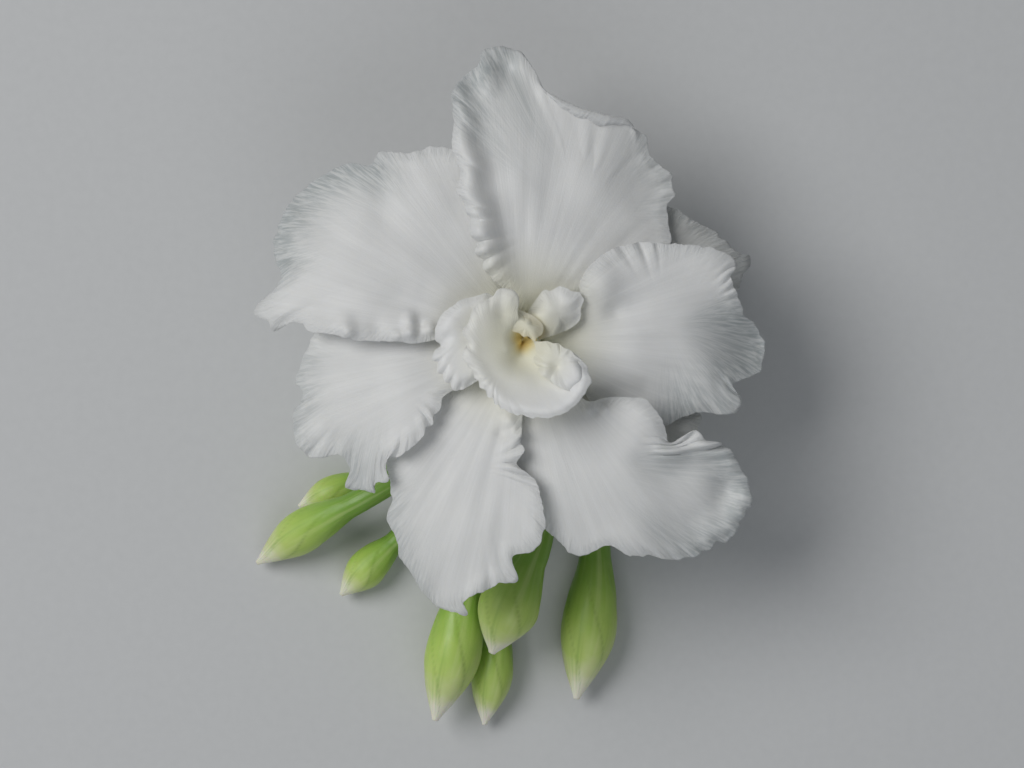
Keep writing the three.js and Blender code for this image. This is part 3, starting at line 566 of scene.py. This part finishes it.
def back_petal(name, spec, seed):
    """A petal of the lower whorl."""
    relief = Relief(spec, (spec["rib"], BACK_HUB), BACK_GRID, seed, BACK_CRINKLE)
    # Painted shade: the lower whorl's outer part is greyed as thin tissue in the shade under the front
    # petals.
    relief.add_thin_and_shade(spec["under"][2], spec["upper"][2], 2.5, 0.6)
    plan = relief.plan
    off = np.radians(plan.angle - spec["rib"])
    free = smooth(6, 14, plan.r)
    pleats = PLEATS * np.sin(PLEAT_COUNT * off + noise(plan.r / 6, plan.r * 0, seed)) * free
    pleats += FRILLS * np.sin(FRILL_COUNT * off) * bell(plan.margin, 2.5) * free
    wound = (BACK_WIND + BACK_GROWTH * plan.r) * off
    z = spread(plan.r) - BACK_DROP - BACK_FALL * plan.r + wound + pleats
    return blade(name, relief, z, BLADE)


def inner_petal(name, spec, seed):
    """A petal of the inner whorl, whose claw dives into the throat."""
    relief = Relief(spec, spec["hub"], INNER_GRID, seed, INNER_CRINKLE)
    plan = relief.plan
    depth, begin, end = spec.get("dip", (0, 0, 1))
    claw = depth * window(begin, end, 30, plan.angle) * (1 - smooth(INNER_CLAW, 4.5, plan.r))
    plunge = spec.get("plunge", 0) * (1 - smooth(0.2, 2.2, plan.r)) ** 1.3
    off = np.radians(plan.angle - spec["rib"])
    z = spec["level"] + spec["rise"] * (plan.r - INNER_CLAW) + spec.get("wind", 0) * off
    z += forms_height(spec["forms"], plan.x, plan.y) - claw - plunge
    return blade(name, relief, z, INNER_BLADE)


def ring_normals(points):
    """The unit normal at each point of rings that go round a hub."""
    around = np.roll(points, -1, axis=1) - np.roll(points, 1, axis=1)
    normal = np.cross(np.gradient(points, axis=0), around)
    return normal / (np.linalg.norm(normal, axis=-1, keepdims=True) + 1e-12)


def add_object(name, data):
    """An object of the scene."""
    made = bpy.data.objects.new(name, data)
    bpy.context.collection.objects.link(made)
    return made


def new_piece(node, points, faces, **values):
    """A smooth mesh object from points in mm, with one number for each point under each given name."""
    name = node + "_skin"
    mesh = bpy.data.meshes.new(name)
    mesh.from_pydata((points * MM).tolist(), [], faces)
    mesh.update()
    mesh.shade_smooth()
    for key, numbers in values.items():
        made = mesh.attributes.new(key, "FLOAT", "POINT")
        made.data.foreach_set("value", np.asarray(numbers, np.float32))
    return add_object(name, mesh)


def blade(name, relief, z, thickness):
    """A closed thin petal: rings go out over its upper skin and come back over its lower one."""
    plan = relief.plan
    x = plan.x + relief.out * plan.out_x + AXIS_X
    y = plan.y + relief.out * plan.out_y + AXIS_Y
    points = np.stack([x, y, z + relief.up + FLOWER_Z], -1)
    full = RIM_SHARE + (1 - RIM_SHARE) * smooth(0, RIM_WIDTH, plan.margin)
    half = (thickness / 2 * full)[..., None] * ring_normals(points)
    points, faces = tube_mesh(np.concatenate([points + half, (points - half)[::-1]]))
    faces = [(face[0], *face[:0:-1]) for face in faces]
    # The thin attribute carries both the thin tissue and the painted shade of greyed stretches.
    values = {"margin": plan.margin, "along": plan.along, "thin": np.clip(relief.thin, 0, 1)}
    both = {key: np.concatenate([*v, *v[::-1], v[0, :1], v[0, :1]]) for key, v in values.items()}
    return new_piece(name, points, faces, **both)


def tube_mesh(rings):
    """Points and faces of a closed body through rings, with a middle point at each end."""
    count, sides = rings.shape[:2]
    at = np.arange(count * sides).reshape(count, sides)
    ahead = np.roll(at, -1, axis=1)
    skin = np.stack([at[:-1], ahead[:-1], ahead[1:], at[1:]], -1).reshape(-1, 4)
    start, end = count * sides, count * sides + 1
    caps = [(start, b, a) for a, b in zip(at[0], ahead[0])]
    caps += [(end, a, b) for a, b in zip(at[-1], ahead[-1])]
    points = np.concatenate([rings.reshape(-1, 3), rings[0].mean(0)[None], rings[-1].mean(0)[None]])
    return points, skin.tolist() + [tuple(map(int, cap)) for cap in caps]


def frames_along(centres):
    """Two directions across a curve at each of its points, carried along it without twist."""
    ways = np.gradient(centres, axis=0)
    ways /= np.linalg.norm(ways, axis=1)[:, None]
    side = np.cross(ways[0], (0, 0, 1))
    sides = []
    for way in ways:
        side = side - way * side.dot(way)
        side = side / np.linalg.norm(side)
        sides.append(side)
    return np.array(sides), np.cross(ways, sides)


def rings_along(centres, radii, sides):
    """Rings round a curve. radii has a row for each point: one radius, or one for each side."""
    first, second = frames_along(centres)
    turn = round_turn(sides)[None, :, None]
    radii = np.broadcast_to(np.atleast_2d(radii), (len(centres), sides))[..., None]
    ring = np.cos(turn) * first[:, None, :] + np.sin(turn) * second[:, None, :]
    points = centres[:, None, :] + radii * ring
    points[..., 2] = np.maximum(points[..., 2], 0)
    return points


AXIS = np.array([AXIS_X, AXIS_Y, 0])
BUD_SIDES, BUD_STEPS = 70, 120
BUD_TWIST = 2.3  # radians by which the petal edges wind round a head
EDGE_STEP, EDGE_GROOVE = 0.03, 0.022  # shares of the radius by which an edge stands up and is undercut
BUD_DENTS, BUD_DENT_SIZE = 0.03, 2.5


def bud_piece(name, radius, line):
    """A closed bud: five petals wound round each other, on a slender tube."""
    centres = curve_points(line, BUD_STEPS)
    far = lengths(centres)
    head = BUD_HEAD * np.linalg.norm(np.subtract(line[1], line[0]))
    even = np.linspace(0, 1, 60)
    widths = np.pad(np.interp(even, *zip(*BUD_PROFILE)), 2, "edge")
    shaped = radius * np.interp(far / head, even, np.convolve(widths, np.ones(5) / 5, "valid"))
    radii = shaped + (BUD_FOOT_RADIUS - shaped) * smooth(head, far[-1] - 3, far)
    turn = round_turn(BUD_SIDES)[None]
    share = (far / head)[:, None]
    wound = 5 * (turn + BUD_TWIST * share)
    groove = bell(np.sin(wound / 2), 0.1)
    step_up = 0.5 - 0.5 * np.cos(np.mod(wound, 2 * np.pi) / 2)
    on_head = (1 - smooth(0.8, 1.1, share)) * smooth(0.02, 0.12, share)
    radii = radii[:, None] * (1 + on_head * (EDGE_STEP * step_up - EDGE_GROOVE * groove))
    radii += BUD_DENTS * noise(turn * 3 + share * 0, far[:, None] / BUD_DENT_SIZE, int(radius * 10))
    points, faces = tube_mesh(rings_along(centres, radii, BUD_SIDES) + AXIS)
    around = np.broadcast_to(turn, radii.shape)
    return new_piece(
        name, points, faces,
        along=np.append(np.repeat(far / head, BUD_SIDES), [0, far[-1] / head]),
        seam=np.append(groove * on_head, [0, 0]),
        round_x=np.append(np.cos(around), [0, 0]),
        round_y=np.append(np.sin(around), [0, 0]),
    )


TUBE_SIDES = 60
TUBE_PROFILE = [(0, 0), (2, 0.02), (6, 0.3), (9, 0.62), (12, 0.35), (14.5, 0.6), (17.7, 0.65)]
THROAT_RADIUS, THROAT_TAPER = 1.25, 0.4
THROAT_DEPTH, THROAT_STEPS = 6, 10
TUBE_RIBS = 0.035  # share of the radius by which the five ribs stand out


def corolla_tube():
    """The open flower's tube, with the hollow throat at its upper end."""
    rim = FLOWER_Z + TUBE_RIM
    z = np.linspace(0, rim - 0.25 - TUBE_FOOT_Z, 60)
    swells = np.interp(z, *zip(*TUBE_PROFILE))
    outer = [(TUBE_FOOT_RADIUS + w, TUBE_FOOT_Z + h) for h, w in zip(z, swells)]
    lip = [(TUBE_RADIUS - 0.1, rim - 0.08), (TUBE_RADIUS - 0.3, rim), (THROAT_RADIUS + 0.1, rim)]
    deep = np.linspace(0, 1, THROAT_STEPS + 1)
    bore = [(THROAT_RADIUS - THROAT_TAPER * k, rim - 0.1 - THROAT_DEPTH * k) for k in deep]
    turn = round_turn(TUBE_SIDES)
    ribbed = 1 + TUBE_RIBS * np.cos(5 * turn)
    rings = [
        np.stack([r * ribbed * np.cos(turn), r * ribbed * np.sin(turn), np.full(TUBE_SIDES, h)], 1)
        for r, h in outer + lip + bore
    ]
    points, faces = tube_mesh(np.array(rings) + AXIS)
    return new_piece("corolla_tube", points, faces)


SEPAL_TOOTH, SEPAL_THICKNESS = 1.1, 0.55
SEPAL_GAP = 0.28  # between the sepals and the tube's foot
CALYX_SIDES = 40


def calyx(foot, outward, tube_radius):
    """A cup of five pointed sepals round the foot of a corolla tube, as points and faces."""
    inner = tube_radius + SEPAL_GAP
    outer = inner + SEPAL_THICKNESS
    turn = round_turn(CALYX_SIDES)
    tooth = np.abs(np.cos(2.5 * turn)) ** 0.8 * SEPAL_TOOTH
    waist = 1 - 0.08 * np.abs(np.sin(2.5 * turn)) ** 6
    flat = np.zeros(CALYX_SIDES)
    levels = [
        (PEDICEL_RADIUS * 0.9, flat - 1.8), (outer * 0.62, flat - 1.45), (outer * 0.86, flat - 0.9),
        (outer * 0.97, flat - 0.2), (outer, flat + 0.5), (outer, 1.2 + tooth * 0.5),
        (outer * 0.97, 1.6 + tooth), (inner, 1.6 + tooth), (inner, flat + 1), (inner, flat - 0.25),
    ]
    side = np.cross(outward, (0.31, 0.22, 0.92))
    side /= np.linalg.norm(side)
    way = np.cos(turn)[:, None] * side + np.sin(turn)[:, None] * np.cross(outward, side)
    rings = np.array([
        foot + (radius * waist)[:, None] * way + height[:, None] * outward for radius, height in levels
    ])
    rings[..., 2] = np.maximum(rings[..., 2], 0)
    return tube_mesh(rings)


STALK_SIDES, STEM_VOXEL = 24, 0.16


def stalk(line, start, end, count=40):
    """A tapered stalk along a line, as points and faces."""
    radii = np.linspace(start, end, count)[:, None]
    return tube_mesh(rings_along(curve_points(line, count), radii, STALK_SIDES))


def cyme_stem():
    """Peduncle, forks, pedicels and calyxes, grown together as one skin."""
    foot = np.array([0, 0, TUBE_FOOT_Z])
    solids = [
        stalk(PEDUNCLE_LINE, PEDUNCLE_RADIUS, PEDUNCLE_RADIUS * 0.92, 60),
        stalk([MAIN_FORK, LEFT_FORK], BRANCH_RADIUS, BRANCH_RADIUS * 0.9),
        stalk([MAIN_FORK, RIGHT_FORK], BRANCH_RADIUS, BRANCH_RADIUS * 0.9),
        stalk([*FLOWER_PEDICEL, (0, 0, TUBE_FOOT_Z - 1.4)], BRANCH_RADIUS, 0.9),
        calyx(foot, np.array([0, 0, 1]), TUBE_FOOT_RADIUS),
    ]
    for index, (_, line) in enumerate(BUDS.values()):
        ends = curve_points(line, 60)
        outward = ends[-2] - ends[-1]
        outward /= np.linalg.norm(outward)
        back, lead = ends[-1] - 1.5 * outward, ends[-1] - 3 * outward
        lead[2] = max(lead[2], PEDICEL_RADIUS)
        fork = LEFT_FORK if index < 3 else RIGHT_FORK
        solids.append(calyx(ends[-1], outward, BUD_FOOT_RADIUS))
        solids.append(stalk([fork, lead, back], PEDICEL_RADIUS * 1.05, PEDICEL_RADIUS))
    return fused("cyme_stem", solids)


def fused(node, solids):
    """One skin round solids that overlap."""
    points, faces, base = [], [], 0
    for some, around in solids:
        points.append(some + AXIS)
        faces += [tuple(base + i for i in face) for face in around]
        base += len(some)
    piece = new_piece(node, np.concatenate(points), faces)
    fuse = piece.modifiers.new("fuse", "REMESH")
    fuse.mode, fuse.voxel_size = "VOXEL", STEM_VOXEL * MM
    soften = piece.modifiers.new("soften", "SMOOTH")
    soften.factor, soften.iterations = 0.5, 3
    changed = piece.evaluated_get(bpy.context.evaluated_depsgraph_get())
    mesh = bpy.data.meshes.new_from_object(changed)
    piece.modifiers.clear()
    piece.data = mesh
    for vertex in mesh.vertices:
        vertex.co.z = max(vertex.co.z, 0)
    mesh.update()
    mesh.shade_smooth()
    return piece


class Nodes:
    """A short way to write a material's nodes."""

    def __init__(self, name):
        self.material = bpy.data.materials.new(name)
        self.material.use_nodes = True
        self.tree = self.material.node_tree
        self.shader = self.tree.nodes["Principled BSDF"]
        self.place = self.add("ShaderNodeTexCoord").outputs["Object"]

    def add(self, kind, inputs=None, **settings):
        """A node with its settings, and inputs given as values or as other nodes' outputs."""
        made = self.tree.nodes.new(kind)
        for key, value in settings.items():
            setattr(made, key, value)
        for key, value in (inputs or {}).items():
            self.feed(made.inputs[key], value)
        return made

    def feed(self, socket, value):
        """Links an output to a socket, or gives the socket a value, such as a colour's r, g and b."""
        if isinstance(value, bpy.types.NodeSocket):
            self.tree.links.new(value, socket)
        else:
            socket.default_value = (*value, 1) if socket.type == "RGBA" else value

    def math(self, operation, *values):
        return self.add("ShaderNodeMath", dict(enumerate(values)), operation=operation).outputs[0]

    def times(self, first, second):
        return self.math("MULTIPLY", first, second)

    def plus(self, first, second):
        return self.math("ADD", first, second)

    def between(self, value, low, high, start=0, end=1):
        """value from low to high, turned into start to end with a soft step."""
        inputs = dict(enumerate((value, low, high, start, end)))
        return self.add("ShaderNodeMapRange", inputs, interpolation_type="SMOOTHSTEP").outputs[0]

    def mix(self, share, first, second):
        return self.add("ShaderNodeMix", {0: share, 6: first, 7: second}, data_type="RGBA").outputs[2]

    def noise(self, vector, scale, detail=3, rough=0.5):
        inputs = {"Vector": vector, "Scale": scale, "Detail": detail, "Roughness": rough}
        return self.add("ShaderNodeTexNoise", inputs).outputs["Fac"]

    def vector(self, *parts):
        return self.add("ShaderNodeCombineXYZ", dict(enumerate(parts))).outputs[0]

    def parts(self, vector):
        return self.add("ShaderNodeSeparateXYZ", {0: vector}).outputs

    def bump(self, strength, depth, height, **beneath):
        """A normal from a height, with its depth in mm."""
        inputs = {"Strength": strength, "Distance": depth * MM, "Height": height, **beneath}
        return self.add("ShaderNodeBump", inputs).outputs[0]

    def attribute(self, name):
        return self.add("ShaderNodeAttribute", attribute_name=name).outputs["Fac"]

    def set(self, **sockets):
        for key, value in sockets.items():
            self.feed(self.shader.inputs[key.replace("_", " ")], value)


def from_axis(n, x=0, y=0):
    """Distance from the flower's axis, or from a line so many mm beside it, and angle round it."""
    centre = ((AXIS_X + x) * MM, (AXIS_Y + y) * MM, 0)
    away = n.add("ShaderNodeVectorMath", {0: n.place, 1: centre}, operation="SUBTRACT")
    x, y, _ = n.parts(away.outputs[0])
    return n.math("SQRT", n.plus(n.times(x, x), n.times(y, y))), n.math("ARCTAN2", y, x)


# Patterns along the rays of a petal: cells for each radian, for each metre outwards, and detail.
BANDS, RIBS, VEINS = (26, 70, 3), (70, 130, 3), (190, 260, 2)
RIM_BAND = 2.2  # mm of margin that show the fingers
OCHRE_MIDDLE, OCHRE_SPAN = (0.2, 0.6), (0.9, 2.8)
OCHRE_RISE = (TUBE_RIM, 4)  # heights over the front petals' plane between which the ochre fades


def fan_noise(n, far, turn, across, outward, detail):
    """Noise drawn out along rays from the flower's axis."""
    return n.noise(n.vector(n.times(turn, across), n.times(far, outward)), 1, detail)


def petal_material(name, tone, silk, cream_reach, rim_grey, rim_depth, glow):
    """White petal tissue: silky ribs that fan from the throat, and fingers of a greyer margin, partly
    thinner tissue and partly painted shade.
    """
    def shade(*parts):
        return tuple(part * tone for part in parts)

    n = Nodes(name)
    far, turn = from_axis(n)
    bands, ribs, veins = (fan_noise(n, far, turn, *sizes) for sizes in (BANDS, RIBS, VEINS))
    cells, clouds = n.noise(n.place, 5200, 2), n.noise(n.place, 160)
    margin, along, thin = n.attribute("margin"), n.attribute("along"), n.attribute("thin")
    fingers = n.noise(n.vector(n.times(along, 2.6), n.times(margin, 0.5)), 1, 3, 0.6)
    rim = n.between(margin, 0, RIM_BAND, 1, 0)
    white = n.mix(clouds, shade(0.83, 0.835, 0.83), shade(0.87, 0.87, 0.86))
    banded = n.mix(n.between(bands, 0.35, 0.7, 0, silk), white, shade(0.76, 0.765, 0.76))
    ribbed = n.mix(n.between(ribs, 0.3, 0.7, 0, silk), banded, shade(0.79, 0.79, 0.78))
    fingered = n.between(fingers, 0.35, 0.65, 1, 0.45)
    # Painted shade together with the thin tissue's own grey: thin stretches and rim fingers turn towards a
    # dark blue-grey.
    thin_tissue_and_shade = n.times(n.math("MAXIMUM", thin, n.times(rim, rim_grey)), fingered)
    cool = n.mix(thin_tissue_and_shade, ribbed, shade(0.39, 0.425, 0.435))
    cream = n.mix(n.between(far, 1.2 * MM, cream_reach * MM, 0.75, 0), cool, (0.87, 0.84, 0.6))
    beside, _ = from_axis(n, *OCHRE_MIDDLE)
    inside = n.between(beside, *(mm * MM for mm in OCHRE_SPAN), 0.9, 0)
    low = n.between(n.parts(n.place)[2], *((FLOWER_Z + mm) * MM for mm in OCHRE_RISE), 1, 0)
    throat = n.mix(n.times(inside, low), cream, (0.83, 0.63, 0.2))
    silky = n.plus(n.times(ribs, silk), n.times(veins, silk * 0.8))
    skin = n.bump(0.5, 0.07, n.plus(silky, n.times(cells, 0.32)))
    frilled = n.bump(0.8, rim_depth, n.times(fingers, rim), Normal=skin)
    n.set(Base_Color=throat, Normal=frilled, Roughness=n.between(clouds, 0.3, 0.7, 0.5, 0.62))
    n.set(Subsurface_Weight=glow, Subsurface_Scale=0.001, Subsurface_Radius=(1, 0.95, 0.85))
    n.set(Specular_IOR_Level=0.35, Sheen_Weight=0.12, Sheen_Roughness=0.5)
    return n.material


TUBE_PALING = (6, 18)  # heights between which the tube's green turns pale
BORE, BORE_DARK, BORE_END = 1.5, 3, 6.4  # the throat's radius, and the depths where it is dark and ends


def tube_material():
    """The corolla tube: pale green outside, ochre deep in the throat."""
    n = Nodes("corolla tube")
    height = n.parts(n.place)[2]
    rim = FLOWER_Z + TUBE_RIM
    green = n.between(height, *(mm * MM for mm in TUBE_PALING))
    pale = n.mix(green, (0.42, 0.55, 0.2), (0.74, 0.78, 0.55))
    drawn_out = n.add("ShaderNodeVectorMath", {0: n.place, 1: (1, 1, 0.12)}, operation="MULTIPLY")
    lines = n.noise(drawn_out.outputs[0], 2400, 2)
    body = n.mix(n.between(lines, 0.35, 0.7, 0, 0.45), pale, (0.82, 0.84, 0.66))
    light = n.between(height, (rim - BORE_DARK) * MM, rim * MM)
    ochre = n.mix(light, (0.7, 0.42, 0.08), (0.85, 0.7, 0.34))
    bore = n.between(from_axis(n)[0], BORE * MM, (BORE + 0.1) * MM, 1, 0)
    above = n.between(height, (rim - BORE_END - 0.3) * MM, (rim - BORE_END) * MM)
    n.set(Base_Color=n.mix(n.times(bore, above), body, ochre), Normal=n.bump(0.3, 0.1, lines))
    n.set(Roughness=0.5, Subsurface_Weight=0.2, Subsurface_Scale=0.0008)
    return n.material


# Colours of a bud, by the share of the way from its tip to the end of its head.
BUD_COLOURS = [
    (0, (0.9, 0.86, 0.78)), (0.11, (0.85, 0.84, 0.68)), (0.21, (0.68, 0.75, 0.37)),
    (0.34, (0.55, 0.69, 0.2)), (0.55, (0.45, 0.63, 0.13)), (0.8, (0.31, 0.51, 0.08)),
    (1, (0.2, 0.38, 0.05)),
]


def bud_material():
    """Bud skin: cream at the tip, yellow-green on the head, deeper green down the tube."""
    n = Nodes("bud")
    along, seam = n.attribute("along"), n.attribute("seam")
    blotch = n.noise(n.place, 300)
    ramp = n.add("ShaderNodeValToRGB", {0: n.plus(along, n.times(n.math("SUBTRACT", blotch, 0.5), 0.3))})
    band = ramp.color_ramp
    for k, (position, shade) in enumerate(BUD_COLOURS):
        stop = band.elements[k] if k < 2 else band.elements.new(position)
        stop.position, stop.color = position, (*shade, 1)
    around = [n.times(n.attribute(name), 2.4) for name in ("round_x", "round_y")]
    streaks = n.noise(n.vector(*around, n.times(along, 0.8)), 1.1)
    pale = n.mix(n.between(streaks, 0.5, 0.8, 0, 0.4), ramp.outputs[0], (0.7, 0.77, 0.36))
    deep = n.mix(n.between(streaks, 0.2, 0.5, 0.5, 0), pale, (0.2, 0.4, 0.045))
    lined = n.mix(n.times(seam, 0.3), deep, (0.26, 0.42, 0.07))
    grain = n.bump(0.2, 0.1, n.noise(n.place, 2300))
    n.set(Base_Color=lined, Normal=grain, Roughness=n.between(blotch, 0.3, 0.7, 0.36, 0.48))
    n.set(Subsurface_Weight=0.25, Subsurface_Scale=0.001, Subsurface_Radius=(0.6, 1, 0.3))
    return n.material


def stem_material():
    """Green bark of the stalks and calyxes, with pale flecks and fine grooves."""
    n = Nodes("stem")
    green = n.mix(n.noise(n.place, 300, 4), (0.06, 0.13, 0.02), (0.17, 0.3, 0.05))
    flecks = n.between(n.noise(n.place, 2600, 2), 0.62, 0.72, 0, 0.5)
    grain = n.noise(n.place, 1300, 5, 0.65)
    n.set(Base_Color=n.mix(flecks, green, (0.4, 0.45, 0.22)), Normal=n.bump(0.5, 0.15, grain))
    n.set(Roughness=n.between(grain, 0.3, 0.7, 0.42, 0.6), Subsurface_Weight=0.1, Subsurface_Scale=0.0006)
    return n.material


def finish_piece(piece, node, material):
    """Dresses a piece and lets it stand for its node of the frame."""
    piece.data.materials.append(material)
    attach(piece, "root")
    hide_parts(node)


# Each whorl: its slot, its petals, what makes them, the first of their seeds, and their tissue with its
# tone, silk, reach of the cream in mm, greyness and depth in mm of the rim, and glow.
WHORLS = [
    ("petal", FRONT_PETALS, front_petal, 1, ("petal", 1, 0.48, 12, 0.25, 0.2, 0.35)),
    # The lower whorl's tone of 0.8 and greyer rim are painted shade: a darker copy of the petal tissue for
    # petals that lie in the shade of the front whorl.
    ("petal", BACK_PETALS, back_petal, 21, ("shaded lower petal", 0.8, 0.5, 12, 0.4, 0.5, 0.35)),
    # The inner whorl's tone of 1.09 is painted light: a brighter copy of the petal tissue that lifts the
    # shade round the throat.
    ("inner_petal", INNER_PETALS, inner_petal, 11, ("brightened inner petal", 1.09, 0.1, 7.8, 0.1, 0.1, 0.45)),
]


def make_flower():
    """All petals and the tube."""
    for slot, petals, make_petal, first_seed, tissue in WHORLS:
        material = petal_material(*tissue)
        for seed, (name, spec) in enumerate(petals.items(), first_seed):
            finish_piece(make_petal(name, spec, seed), name, material)
    finish_piece(corolla_tube(), "corolla_tube", tube_material())


def make_buds_and_stem():
    """All buds, and the stem that carries them and the flower."""
    skin = bud_material()
    for name, (radius, line) in BUDS.items():
        finish_piece(bud_piece(name, radius, line), name, skin)
    finish_piece(cyme_stem(), "cyme_stem", stem_material())


# The photograph's view: straight down on the flower, whose axis meets this pixel of its frame.
IMAGE_SIZE, AXIS_PIXEL = (1024, 768), (522, 340)
PIXELS_PER_MM = 9.43  # at the front petals' plane
CAMERA_HEIGHT, SENSOR = 320, 36

# The studio: each light's offset from the flower in metres, its width, watts and tint.
LIGHTS = {
    "key": ((-0.4, 0.19, 0.53), 0.46, 2.7, (1, 0.99, 0.97)),
    "fill": ((0.05, -0.44, 0.46), 0.5, 0.6, (0.95, 0.97, 1)),
}
SKY_COLOUR, SKY_STRENGTH = (0.9, 0.95, 1), 0.15
FLOOR_SIZE = 3


def make_camera():
    data = bpy.data.cameras.new("camera")
    camera = add_object("camera", data)
    aside, up = (size / 2 - pixel for size, pixel in zip(IMAGE_SIZE, AXIS_PIXEL))
    place = AXIS_X + aside / PIXELS_PER_MM, AXIS_Y - up / PIXELS_PER_MM, FLOWER_Z + CAMERA_HEIGHT
    camera.location = Vector(place) * MM
    data.sensor_width = SENSOR
    data.lens = SENSOR * PIXELS_PER_MM * CAMERA_HEIGHT / IMAGE_SIZE[0]
    data.clip_start, data.clip_end = 0.01, 20
    bpy.context.scene.camera = camera


def area_light(name, offset, size, watts, tint):
    data = bpy.data.lights.new(name, "AREA")
    data.shape, data.size, data.energy, data.color = "DISK", size, watts, tint
    light = add_object(name, data)
    target = Vector((AXIS_X, AXIS_Y, FLOWER_Z)) * MM
    light.location = target + Vector(offset)
    light.rotation_euler = (target - light.location).to_track_quat("-Z", "Y").to_euler()


def make_studio():
    bpy.ops.mesh.primitive_plane_add(size=FLOOR_SIZE)
    floor = bpy.context.object
    floor.name = "floor"
    n = Nodes("floor")
    tone = n.mix(n.noise(n.place, 900), (0.6, 0.61, 0.62), (0.64, 0.65, 0.66))
    n.set(Base_Color=tone, Roughness=0.85)
    floor.data.materials.append(n.material)
    for name, light in LIGHTS.items():
        area_light(name, *light)
    scene = bpy.context.scene
    scene.world = bpy.data.worlds.new("studio")
    scene.world.use_nodes = True
    sky = scene.world.node_tree.nodes["Background"].inputs
    sky["Color"].default_value = (*SKY_COLOUR, 1)
    sky["Strength"].default_value = SKY_STRENGTH
    scene.view_settings.view_transform = "Standard"
    scene.view_settings.look = "None"


make_camera()
make_studio()
make_flower()
make_buds_and_stem()
